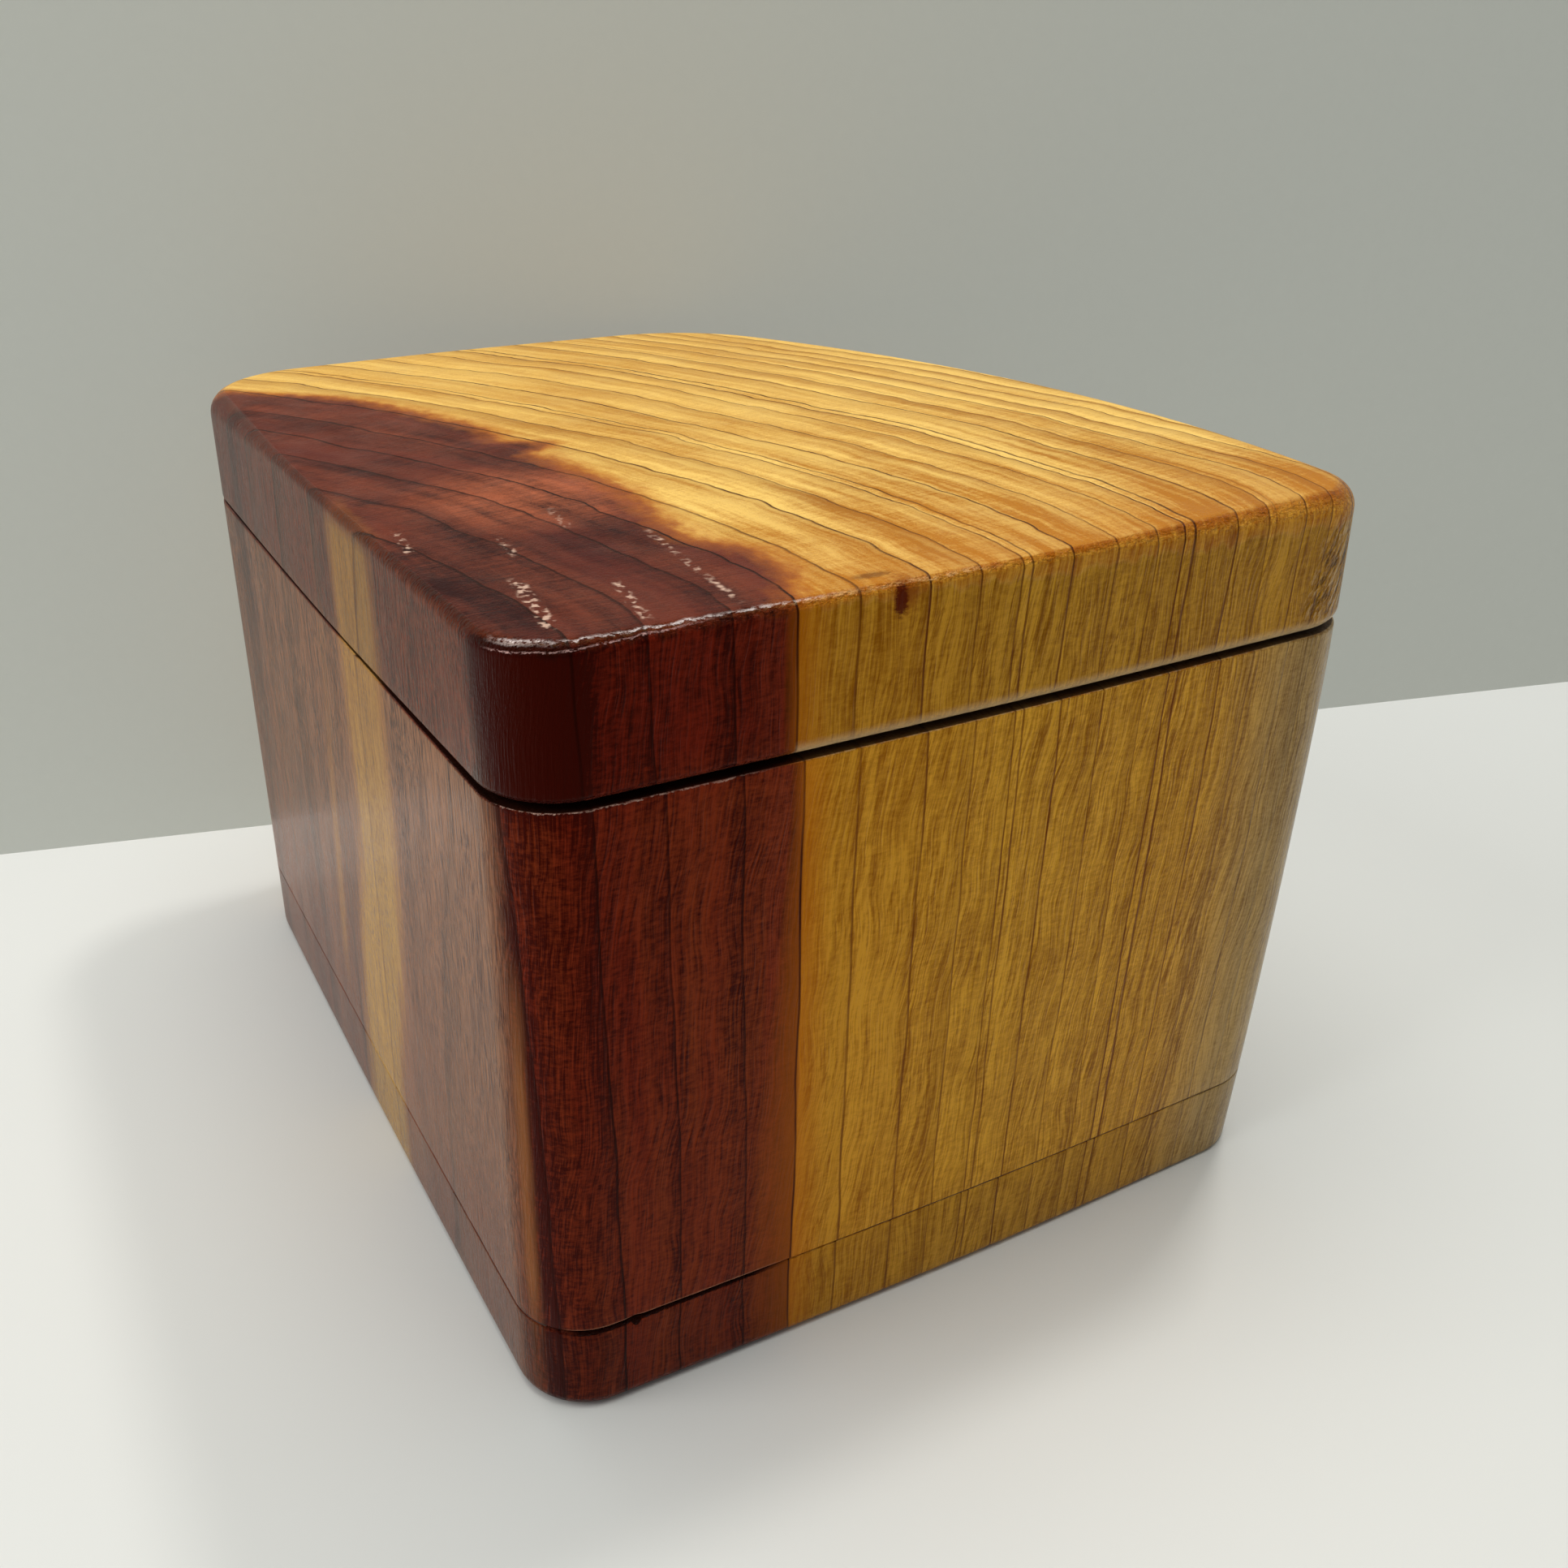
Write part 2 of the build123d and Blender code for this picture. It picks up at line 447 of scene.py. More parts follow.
    # Slanted figure in patches, where the fibres cross the face at about 12 degrees, with a few hairline
    # cracks
    slant_at = node("CombineXYZ", [swayed(x, (z, -0.22)), y, z])
    patches = figure(spot, (1 / 11, 1 / 11, 1 / 24), 2.0, 0.5, -0.6, 1.4, True)
    patches = node("Math", [patches, 0.0], operation="MAXIMUM")
    slanted = faded(figure(slant_at, (2.1, 2.1, 1 / 10), 3.0, 0.62), patches)
    crack = figure(slant_at, (0.5, 0.5, 1 / 22), 2.0, 0.5)
    crack = faded(near(crack, 0, 0.05, 0.01, 0.4, "LINEAR"), patches)

    # Short dashes across the grain, left by the sanding, and rays across the end grain, about half a
    # millimetre apart, which is coarser than real ones so that they show
    dashes = figure(slant_at, (0.8, 0.8, 2.2), 3.0, 0.68)
    fan = node("Math", [angle, 420.0], operation="MULTIPLY")
    ray_at = node("CombineXYZ", [fan, distance, 0])
    rays = faded(figure(ray_at, (1.0, 1 / 9, 1.0), 2.0, 0.6), end_grain)

    # Heart and sap. The edge is crisp on the faces and soaks out a millimetre or two over the end grain.
    edge = node("Math", [y, edge_length], operation="DIVIDE")
    edge = node("FloatCurve", [1.0, edge], points=heart_curve)
    edge = swayed(-edge_base, (edge, edge_reach))
    depth = node("Math", [edge, x_ring], operation="SUBTRACT")
    fringe = figure(spot, (0.5, 0.35, 1 / 30), 4.0, 0.6, -1.3, 1.3)
    depth = swayed(depth, (fringe, by_grain(0.22, 1)))
    soft_edge = by_grain(0.4, 1.7)
    soft_start = node("Math", [soft_edge, -1.0], operation="MULTIPLY")
    heart = node("MapRange", [depth, soft_start, soft_edge], interpolation_type="SMOOTHSTEP")

    # A thin tongue of sapwood in the left face, which slants back towards the foot, and a splinter of it
    # beside
    tongue_middle = node("MapRange", [z, 66, 6, 48.8, 60.0], interpolation_type="SMOOTHSTEP")
    ragged = figure(spot, (0.45, 0.4, 1 / 45), 3.0, 0.65, -1.8, 1.8)
    tongue = node("Math", [y, tongue_middle], operation="SUBTRACT")
    tongue = node("Math", [tongue, ragged], operation="ADD")
    tongue_half = node("MapRange", [z, 60, 10, 11.4, 12.4])
    tongue_core = node("Math", [tongue_half, 6.0], operation="SUBTRACT")
    tongue = near(tongue, 0, tongue_half, tongue_core, 1)
    splinter_middle = node("MapRange", [z, 82, 22, 66.5, 77.0])
    splinter = node("Math", [y, splinter_middle], operation="SUBTRACT")
    splinter = node("Math", [splinter], operation="ABSOLUTE")
    splinter = swayed(splinter, (ragged, 0.35))
    splinter = node("MapRange", [splinter, 2.8, 0.4, 0, 0.55], interpolation_type="SMOOTHSTEP")
    splinter = faded(splinter, (z, 16, 27), (z, 80, 46, 0.12, 1))
    tongue = node("Math", [tongue, splinter], operation="MAXIMUM")
    skin = swayed(x, (fringe, 0.4))
    skin = node("MapRange", [skin, 1.7, 0.5], interpolation_type="SMOOTHSTEP")
    tongue = faded(tongue, skin, (z, 99.3, 97.4, 0.15, 1), (z, 48, 74, 1, 0.76))
    heart_left = node("Math", [1.0, tongue], operation="SUBTRACT")
    heart = faded(heart, heart_left)

    # Orange glow in the sap beside the heart, and an ember brown along the heart's own edge
    glow = node("MapRange", [depth, by_grain(-6.0, -3.6), 0.5])
    glow = faded(glow, heart_left, 0.9)
    warm_side = node("MapRange", [x_ring, 34, 58, 0.24, 0])
    warm_front = node("MapRange", [y, 30, 3, 0, 0.34])
    warm_side = faded(node("Mix", [end_grain, warm_side, warm_front]), heart_left)
    glow = node("Math", [glow, warm_side], operation="MAXIMUM")
    ember_low = node("MapRange", [z, 74, 30, 1.6, 6.5])
    ember_from = node("Mix", [end_grain, ember_low, 4.0])
    ember = faded(node("MapRange", [depth, ember_from, 0.3]), by_grain(0.85, 0.9))

    # An orange flame on the front corner's rounding, between the foot and two thirds up
    across = node("Math", [x, y], operation="SUBTRACT")
    across = node("Math", [across, 3.6], operation="ADD")
    flame = near(swayed(across, (fringe, 0.6)), 0, 2.6, 0.2, 0.62)
    from_corner = node("Math", [x, y], operation="ADD")
    flame = faded(flame, (from_corner, 9, 6.5), (z, 66, 48), (z, 10, 20, 0.25, 1))

    # The heart is paler and browner in the skin of the left face, as far as the front corner, with dark
    # strands
    pale = swayed(y, (fringe, 0.3))
    pale = node("Math", [pale, node("MapRange", [z, 80, 94, 0, 3.2])], operation="SUBTRACT")
    pale = node("MapRange", [pale, 3.4, 8.5, 0, 0.85], interpolation_type="SMOOTHSTEP")
    pale = faded(pale, skin, on_face, (y, 40, 105, 1, 0.9), (z, 50, 10, 1, 0.7), (z, 82, 84, 1, 0.38))
    strands = swayed(faded(hair, 0.6), (streak, 0.24), (fibre, 0.50))
    strands = swayed(faded(strands, (z, 12, 70, 0.4, 1)), (bands, 0.25))
    back_up = faded(node("MapRange", [y, 55, 110]), (z, 30, 85, 0.42, 0.72))
    back_up = node("Math", [back_up, 0.42], operation="MAXIMUM")
    strands = node("Math", [strands, back_up], operation="ADD", use_clamp=True)
    skin_sap = faded(skin, on_face, 0.4)

    # How deep the gold is, from the figure, and on the end grain with more contrast towards the front
    tone = swayed(
        0.43, (streak, 0.28), (fibre, 0.34), (hair, 0.48), (dashes, 0.30), (clouds, 0.14), (slanted, 0.46),
        (bands, 0.06),
    )
    tone = node("Math", [tone, crack], operation="ADD")
    for middle, stretch, gain in light_patches:
        lit = node("MapRange", [away(middle, stretch), 1, 0.3, 0, gain], interpolation_type="SMOOTHSTEP")
        tone = node("Math", [tone, lit], operation="ADD")
    middling = 0.34
    end_tone = swayed(middling, (streak, 0.40), (hair, 0.14), (rays, 0.12), (dashes, 0.10), (bands, 0.32))
    end_tone = node("Math", [end_tone, middling], operation="SUBTRACT")
    end_tone = swayed(middling, (end_tone, node("MapRange", [y, 0, 100, 1.8, 0.8])))
    tone = node("Mix", [end_grain, tone, end_tone])
    deep_band = node("MapRange", [x, 84, 104, 0, -0.12])
    front_band = node("MapRange", [y, 38, 4, 0, 0.4])
    band = node("Math", [deep_band, front_band], operation="ADD")
    tone = node("Math", [tone, faded(band, end_grain)], operation="ADD", use_clamp=True)

    # How dark the red is, from the figure, with plum on the left of the top, and painted shade over the lid's
    # faces, most on its left, and at the front corner, where less light falls
    shade = swayed(
        0.34, (streak, 0.20), (fibre, 0.30), (hair, 0.44), (dashes, 0.42), (bands, 0.20), (late, 0.10),
        (late_edge, 0.45), (slanted, 0.16),
    )
    end_shade = swayed(
        0.15, (streak, 0.20), (hair, 0.16), (dashes, 0.18), (rays, 0.24), (bands, 0.40), (late, 0.45),
        (patches, 0.3),
    )
    plum = swayed(x, (y, -0.16), (fringe, 0.8))
    plum = node("MapRange", [plum, 6.5, 2.5, 0, 0.3], interpolation_type="SMOOTHSTEP")
    end_shade = node("Math", [end_shade, faded(plum, (y, 36, 26))], operation="ADD")
    shade = node("Mix", [end_grain, shade, end_shade])
    # Painted shade: the lid's faces darker, as less light reaches them, and the front corner darker still
    lid_shade = faded(node("MapRange", [z, 82, 84, 0, 0.16]), (x, 34, 4, 0.3, 1), on_face)
    shade = node("Math", [shade, lid_shade], operation="ADD")
    corner_shade = faded(node("MapRange", [from_corner, 9.5, 4, 0, 0.6]), (z, 80, 88, 1, 3.4), on_face)
    shade = node("Math", [shade, corner_shade], operation="ADD", use_clamp=True)

    # Warm clouds in the red, most on its right and in one patch of the top, and a blush by the sap at the
    # front
    warmth = figure(lane, (1 / 7, 0.5, 1 / 60), 3.0, 0.55, 0.0, 0.6, True)
    warm_right = faded(node("MapRange", [x, 6, 32, 0, 0.35]), on_face)
    warmth = node("Math", [warmth, warm_right], operation="ADD")
    cool_lid = node("MapRange", [z, 80, 87, 1, 0.3])
    warmth = faded(warmth, node("Mix", [end_grain, cool_lid, 0.6]))
    warm_patch = node("VectorMath", [flat, (23, 47, 0)], operation="DISTANCE")
    warm_patch = faded(node("MapRange", [warm_patch, 17, 4, 0, 0.9]), end_grain)
    warmth = node("Math", [warmth, warm_patch], operation="ADD", use_clamp=True)
    blush = faded(near(x_ring, 28.2, 2.2, 0.8, 0.55), by_grain(1, 0), (y, 12, 6))

    # Sap and heart, each from its coats of colour, along the grain and across its end
    dark_line = faded(line, by_grain(0.95, 1), swayed(1.0, (pale, -0.8)))
    late_sap = faded(late, by_grain(0.45, 0.8))
    sap_coats = (
        (tone, "sap_deep"), (late_sap, "sap_late"), (glow, "glow"), (skin_sap, "skin_sap"),
        (dark_line, "sap_line"),
    )
    heart_coats = (
        (warmth, "heart_warm"), (blush, "heart_blush"), (shade, "heart_dark"), (pale, "fleece"),
        (ember, "ember"), (flame, "flame"), (dark_line, "heart_line"),
    )
    dressed = []
    for colours in palettes:
        fleece = node("Mix", [strands, colours["pale_light"], colours["pale_deep"]], data_type="RGBA")
        colours = {**colours, "fleece": fleece}
        sap, red = colours["sap_light"], colours["heart_deep"]
        for share, coat in sap_coats:
            sap = node("Mix", [share, sap, colours[coat]], data_type="RGBA")
        for share, coat in heart_coats:
            red = node("Mix", [share, red, colours[coat]], data_type="RGBA")
        dressed.append(node("Mix", [heart, sap, red], data_type="RGBA"))
    colour = dressed[0]

    if varnished_wood:
        # The round-over drinks the most varnish, so it's the deepest
        rounded_top = node("MapRange", [upright, 0.995, 0.88], interpolation_type="SMOOTHSTEP")
        rounded = node("MapRange", [upright, 0.12, 0.45], interpolation_type="SMOOTHSTEP")
        rounded = faded(rounded, rounded_top)
        rim_from = node("MapRange", [x, 30, 108, 98.4, 95.6])
        drips = figure(spot, (0.5, 0.5, 0.12), 3.0, 0.6)
        rim = node("Math", [swayed(z, (drips, 0.9)), rim_from], operation="SUBTRACT")
        rim = node("MapRange", [rim, 0, 1.0, 0, 0.85], interpolation_type="SMOOTHSTEP")
        end_share = node("Math", [end_grain, rim], operation="MAXIMUM")
        colour = node("Mix", [end_share, *dressed], data_type="RGBA")
        rim = faded(rim, rounded_top)
        soaked = node("Mix", [1.0, colour, linear("#dfbe62")], data_type="RGBA", blend_type="MULTIPLY")
        colour = node("Mix", [rim, colour, soaked], data_type="RGBA")

        # Marks laid over the wood in this order, some of the work and of wear and some painted light and
        # shade: first drops of varnish down from the rim, and a grey veil where the bark side begins under
        # the lid
        drop = node("MapRange", [drips, 0.25, 0.75, 0, 0.8], interpolation_type="SMOOTHSTEP")
        drop = faded(drop, (x, 44, 90), rim)
        veil = faded(node("MapRange", [x, 88, 108, 0, 0.7], interpolation_type="SMOOTHSTEP"), (z, 84, 83))
        greyed_tone = node("Mix", [tone, linear("#a8966c"), linear("#6c5a34")], data_type="RGBA")
        marks = [(drop, linear("#7a3c06")), (veil, greyed_tone)]

        # Painted highlights along the front edges: broken pale lines where the lamp would glint on the
        # rounded film
        torn = figure(spot, (1.6, 3.0, 3.0), 4.0, 0.72)
        wavering = figure(spot, (0.28, 0.28, 0.28), 2.0, 0.6, -0.5, 0.5)
        height_here = swayed(z, (wavering, 0.3), (torn, 0.14))
        reach_here = swayed(x, (torn, 7.0))
        few = node("MapRange", [torn, 0.75, 1.0, 0, 0.7])
        crumbs = node("MapRange", [torn, -0.35, 0.3])
        uneven = figure(spot, (0.45, 0.45, 0.45), 2.0, 0.6, 0.15, 1.0, True)
        for at, fall, half, end, carries_on, shine in painted_highlight_lines:
            painted_highlight = near(swayed(height_here, (x, -fall)), at, half, half * 0.3, 1, "LINEAR")
            ending = node("MapRange", [reach_here, end, end + 6, 1, 0])
            ending = node("Math", [ending, few if carries_on else 0.0], operation="MAXIMUM")
            start = (x, 26, 34, 0.1 if carries_on else 1, 1)
            painted_highlight = faded(painted_highlight, crumbs, uneven, ending, start, (y, 6, 3.5), (upright, 0.995, 0.93))
            marks.append((painted_highlight, linear(shine)))

        # Whitish band along the lid's lower edge, over the sap
        whitish_band_at = swayed(z, (torn, 0.15))
        whitish_band = node("MapRange", [whitish_band_at, 85.0, 83.0, 0, 0.8], interpolation_type="SMOOTHSTEP")
        not_heart = node("Math", [1.0, heart], operation="SUBTRACT")
        whitish_band = faded(whitish_band, (whitish_band_at, 82.3, 82.6), not_heart, (y, 12, 5))

        # Painted shade in the torn upper lip of the floor slice by the front corner, with a notch: nearly
        # black, where the open joint lies in shadow, and a painted highlight on the edge of wood above it
        torn_lip_shade = swayed(z, (torn, 0.16))
        for part in (near(x, 12.0, 0.7, 0.2, 0.7, "LINEAR"), node("MapRange", [x, 5, 26, 0.16, -0.06])):
            torn_lip_shade = node("Math", [torn_lip_shade, part], operation="ADD")
        torn_lip_shade = node("MapRange", [torn_lip_shade, 12.42, 12.56, 0, 0.97])
        lip_highlight = node("MapRange", [swayed(z, (torn, 0.1)), 13.5, 13.25, 0, 0.6])
        by_corner = faded(node("MapRange", [y, 7, 4]), (x, 3.0, 5.0), (x, 33.0, 28.0))
        torn_lip_shade = faded(torn_lip_shade, by_corner, (z, 12.97, 12.96))
        lip_highlight = faded(lip_highlight, by_corner, (z, 12.98, 12.99))

        # The wall's top edge is painted nearly black: painted shade for the gap under the lid
        gap_shade = faded(node("MapRange", [z, 82.2, 82.36]), (z, 84.0, 83.9, 0, 0.85), (upright, 0.9, 0.98))
        marks += [
            (whitish_band, linear("#dcc094")), (torn_lip_shade, linear("#0a0202")), (lip_highlight, linear("#c08868")),
            (gap_shade, linear("#1a0a04")),
        ]

        # Painted glints: rows of open pores on the dark end grain, painted pale where they catch the light
        glint_flecks = 0.0
        for first, last, half, strength in glint_fleck_rows:
            slope = (last[0] - first[0]) / (last[1] - first[1])
            row = node("Math", [swayed(x, (y, -slope)), first[0] - slope * first[1]], operation="SUBTRACT")
            row = near(swayed(row, (fringe, 0.22)), 0, half * 1.9, half * 0.7, strength, "LINEAR")
            row = faded(row, (y, first[1] - 0.5, first[1] + 1), (y, last[1] + 0.5, last[1] - 2))
            glint_flecks = node("Math", [glint_flecks, row], operation="MAXIMUM")
        speck = figure(spot, (1.0, 0.9, 1.0), 1.5, 0.5, -2.6, 2.6, True)
        speck = node("Math", [speck, 0.0], operation="MAXIMUM")
        glint_flecks = node("Math", [glint_flecks, speck], operation="MULTIPLY", use_clamp=True)
        marks.append((faded(glint_flecks, (z, 98.5, 99.6, 0, 0.7)), linear("#e6c0a8")))

        # The pin knot
        for middle, stretch, outside, within, share, mark_colour in knot_marks:
            mark = swayed(away(middle, stretch), (torn, 0.28))
            mark = node("MapRange", [mark, outside, within, 0, share], interpolation_type="SMOOTHSTEP")
            marks.append((mark, linear(mark_colour)))

        # Rippled film at the lid's right corner, with painted shade in its hollows and a painted highlight on
        # its crests
        furrow_at = node("CombineXYZ", [swayed(x, (z, -0.35)), swayed(y, (z, -0.5)), z])
        furrows = figure(furrow_at, (1.1, 1.1, 0.34), 3.0, 0.6)
        ruffled = figure(spot, (0.3, 0.3, 0.3), 2.0, 0.5, -1.5, 1.5, True)
        rippled = node("Math", [ruffled, x], operation="ADD")
        rippled = node("MapRange", [swayed(rippled, (z, -0.25)), 80.5, 84.5])
        rippled = faded(rippled, (z, 83.5, 86), (z, 97.5, 95), (y, 42, 16))
        for low, high, share, mark_colour in ((-0.05, -0.45, 0.75, "#442804"), (0.2, 0.5, 0.75, "#d2ae78")):
            ripple_shading = faded(node("MapRange", [furrows, low, high, 0, share]), rippled)
            marks.append((ripple_shading, linear(mark_colour)))
        for share, mark_colour in marks:
            colour = node("Mix", [share, colour, mark_colour], data_type="RGBA")

    # Relief: ring lines a little sunk, open fibres and pores, and the film's lumps on rounded edges and its
    # furrows
    pores = figure(spot, (1.9, 1.9, 1.9), 3.0, 0.6)
    height = swayed(faded(line, by_grain(-0.25, -0.8)), (fibre, 0.9), (hair, 0.6), (pores, 0.35))
    if varnished_wood:
        lumps = faded(figure(spot, (1.5, 2.2, 2.2), 3.0, 0.6), rounded)
        height = swayed(height, (lumps, 3.5), (faded(furrows, rippled), 9.0))
    relief = node("Bump", {"Strength": 1.0, "Distance": relief_unit, "Height": height})
    dull_face, dull_end, index = film
    dull = node("MapRange", [upright, 0.93, 0.995, dull_face, dull_end], interpolation_type="SMOOTHSTEP")
    rough = faded(dull, figure(spot, (1 / 6, 1 / 6, 1 / 14), 3.0, 0.6, 0.8, 1.25, True))
    wood = node("BsdfPrincipled", {
        "Base Color": colour, "Roughness": rough, "Normal": relief, "IOR": index,
        "Specular Tint": linear("#ff7040"),
    })
    node("OutputMaterial", [wood])
    return material


def palette(depth, **codes):
    """A set of named colours, from hex to linear, all dimmed to a share: painted shade on a slice that gets
    less light, and partly its own darker tone.
    """
    return {key: tuple(depth * share for share in linear(code)[:3]) + (1.0,) for key, code in codes.items()}


def varnished(depth):
    """The colours along the grain and across its end under varnish. Depth dims the first only."""
    along_grain = palette(
        depth,
        sap_light="#e4a832", sap_deep="#925c04", sap_late="#8a5a04", sap_line="#642a00", glow="#c4700a",
        heart_deep="#781a0f", heart_warm="#88421a", heart_dark="#380804", heart_line="#200302",
        heart_blush="#84301a", ember="#9c500a", flame="#a06434", skin_sap="#9a7c54",
        pale_light="#a0704c", pale_deep="#301008",
    )
    across_grain = palette(
        1.0,
        sap_light="#f6ca6c", sap_deep="#b8781f", sap_late="#8e5818", sap_line="#482204", glow="#b86c1c",
        heart_deep="#55211b", heart_warm="#b05e3c", heart_dark="#2a0f0f", heart_line="#200a06",
        heart_blush="#8c4830", ember="#a05824", flame="#8c4830", skin_sap="#a0805c",
        pale_light="#8e4a2c", pale_deep="#6a2c1c",
    )
    return along_grain, across_grain


bare = palette(
    1.0,
    sap_light="#e6cc9c", sap_deep="#cfae78", sap_late="#bd9560", sap_line="#946a3c", glow="#d8a870",
    heart_deep="#b0705c", heart_warm="#bb8068", heart_dark="#8e5040", heart_line="#6c3428",
    heart_blush="#bb8068", ember="#b87c54", flame="#bb8068", skin_sap="#dcc090",
    pale_light="#c89a78", pale_deep="#9a6048",
)
lid_drift = (0.0, 0.0, 98.0, 0.06, 0.0012)
wall_drift = (1.8, 0.012, 80.0, 0.037, 0.00066)
floor_drift = (4.3, 0.063, 6.0, 0.0, 0.0)

# Aromatic cedar, bandsawn, sanded and varnished. The satin film deepens the wood and mirrors the room
# softly: 0.17 dull on the faces, and 0.45 where the end grain drank it. Worn as it is, it mirrors less than
# a fresh film, so its index is low and its tint orange.
varnish = (0.17, 0.45, 1.2)
# The lid and floor take colours dimmed to 0.8 and 0.82: painted shade, as less light reaches them, and partly
# their own darker tone
cedar_lid = cedar("varnished_cedar_lid", lid_drift, varnished(0.8), varnish)
cedar_wall = cedar("varnished_cedar_wall", wall_drift, varnished(1.0), varnish)
cedar_floor = cedar("varnished_cedar_floor", floor_drift, varnished(0.82), varnish)

# The same wood inside, bandsawn and left bare, which looks pale, dry and matt
sanded = (0.7, 0.75, 1.3)
raw_lid = cedar("raw_cedar_lid", lid_drift, (bare,), sanded)
raw_wall = cedar("raw_cedar_wall", wall_drift, (bare,), sanded)
raw_floor = cedar("raw_cedar_floor", floor_drift, (bare,), sanded)


def dried_glue():
    """Wood glue, squeezed out of the joint and dried: a brown line with lumps about a millimetre wide, a
    little glossier than the bare wood."""
    material, node = new_material("wood_glue_dried")
    lumps = node("TexNoise", [node("TexCoord").outputs["Object"], 900.0, 2.0, 0.5])
    tint = node("Mix", [lumps, linear("#2a160a"), linear("#4a2c14")], data_type="RGBA")
    rough = node("MapRange", [lumps, 0, 1, 0.4, 0.6])
    node("OutputMaterial", [node("BsdfPrincipled", {"Base Color": tint, "Roughness": rough, "IOR": 1.47})])
    return material


glue = dried_glue()

# Angles round a quarter circle, and heights of the hollows of hand sanding and of the saw's marks inside
quarter = np.linspace(0, math.pi / 2, 10)
sanding = 0.035
saw_marks = 0.04


def eased_top(size, inset, level):
    """Lines down a rounded upper edge: a quarter circle of that size, which starts flat at the level."""
    return [ring_of(size * (1 - math.sin(a)) + inset, level - size * (1 - math.cos(a))) for a in quarter]


def eased_foot(size, inset, level):
    """Lines down a rounded lower edge: a quarter circle of that size, which ends flat at the level."""
    return [ring_of(size * (1 - math.cos(a)) + inset, level + size * (1 - math.sin(a))) for a in quarter[1:]]


def face_rows(high, low, count, inset, seed=None):
    """Lines down a face from one level to another, with hollows of sanding that fade out at both as half a
    sine wave. Inset gives how far the face stands in from the plan, from the share of the way down and the
    level."""
    rows = []
    for share in np.linspace(0, 1, count)[1:]:
        level = high + (low - high) * share
        hollows = waves(level, seed, sanding, (3, 30)) * math.sin(math.pi * share) if seed else 0
        rows.append(ring_of(hollows + inset(share, level), level))
    return rows


# Lid: round-over on top that is broadest at the right and back corners, small one below, and a slit where
# it sits
top_round = around([1.7, 1.2, 3.2, 2.8, 3.4, 2.8, 3.8, 1.2])
low_round = around([0.9, 1.5, 1.7, 1.3, 1.1, 1.0, 0.9, 0.6])
slit = around([0.8, 0.6, 0.42, 0.35, 0.3, 0.25, 0.2, 0.14])
slack = around([0, 0, 0.95, 0.55, 0, 0, 0, 0])
flat_margin = 0.15
# How far in from the lower round the slit stays open, and where the lid rests on the wall
slit_depth, rest_depth = 2.2, 3.4
top_edge = ring_of(slack + top_round + flat_margin, lid_top)
bare_edge = ring_of(wall_thickness, seam)
fill, top_pole = disc_rows(top_edge, 16)
rows = fill + [top_edge] + eased_top(top_round, slack, lid_top)
low_level = seam + slit + low_round
rows += face_rows(lid_top - top_round, low_level, 14, lambda share, _: slack * (1 - 0.5 * share), 5)
rows += eased_foot(low_round, slack / 2, seam + slit)
rows += [ring_of(low_round + slit_depth, seam + slit * 0.9), ring_of(low_round + rest_depth, seam)]
bare_from = len(rows)
fill, low_pole = disc_rows(bare_edge, 4)
rows += [bare_edge] + fill[::-1]
bands = [0 if i < bare_from else 1 for i in range(len(rows) - 1)]
lid = put_mesh("cedar_lid", rows, bands, [cedar_lid, raw_lid], [top_pole, low_pole])
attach(lid, "lid")
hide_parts("lid_slab")

# Wall: a closed ring, eased at its mouth, torn here and there along the glue line, and leaning in on the
# bark side
mouth_round = around([0.26, 0.24, 0.4, 0.5, 0.5, 0.5, 0.4, 0.25]) + chips([], 3, 0.02)
inner_round = 0.5
tears = [
    ((6.0, 0.0), 4.5, 0.34), ((11.8, -0.2), 0.8, 0.8), ((16.0, -0.3), 5.0, 0.3), ((25.0, -0.4), 5.0, 0.24),
    ((0.0, 21.0), 1.2, 0.35), ((0.0, 37.0), 1.0, 0.3), ((0.0, 83.0), 1.6, 0.35),
]
foot_round = around([0.26, 0.16, 0.14, 0.14, 0.14, 0.14, 0.14, 0.14]) + 0.45 * chips(tears, 11, 0.08)
rows = eased_top(mouth_round, lean(seam), seam)
rows += face_rows(seam - mouth_round, wall_foot + foot_round, 24, lambda _, level: lean(level), 8)
rows += eased_foot(foot_round, lean(wall_foot), wall_foot)
bare_from = len(rows) - 1
rows.append((rows[-1] + ring_of(0, wall_foot, inner, inner_out)) / 2)
for level in np.linspace(wall_foot, seam - inner_round, 12):
    sawn = waves(level, 21, saw_marks, (20, 90)) * (0 if level == wall_foot else 1)
    rows.append(ring_of(sawn, level, inner, inner_out))
for a in quarter[1:]:
    level = seam - inner_round + inner_round * math.sin(a)
    rows.append(ring_of(-inner_round * (1 - math.cos(a)), level, inner, inner_out))
rows.append((rows[-1] + rows[0]) / 2)
bands = [0 if i < bare_from or i > len(rows) - 3 else 1 for i in range(len(rows))]
wall = put_mesh("cedar_wall", rows, bands, [cedar_wall, raw_wall])
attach(wall, "box")
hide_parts("body_ring")

# Floor slice: eased where it meets the table, most at the front corner
edge_round = around([0.3, 0.18, 0.15, 0.15, 0.15, 0.15, 0.15, 0.18]) + chips(tears[:4], 13, 0.07)
table_round = around([2.0, 1.4, 0.8, 1.0, 1.5, 1.4, 1.5, 1.4])
under_wall, top_margin, foot_margin = 1.5, 0.4, 0.3
bare_edge = ring_of(wall_thickness - under_wall, floor_top)
fill, top_pole = disc_rows(bare_edge, 8)
bare_to = len(fill) + 1
rows = fill + [bare_edge, ring_of(edge_round + top_margin + lean(floor_top), floor_top)]
rows += eased_top(edge_round, lean(floor_top), floor_top)
rows += face_rows(floor_top - edge_round, table_round, 8, lambda _, level: lean(level))
rows += eased_foot(table_round, lean(0), 0)
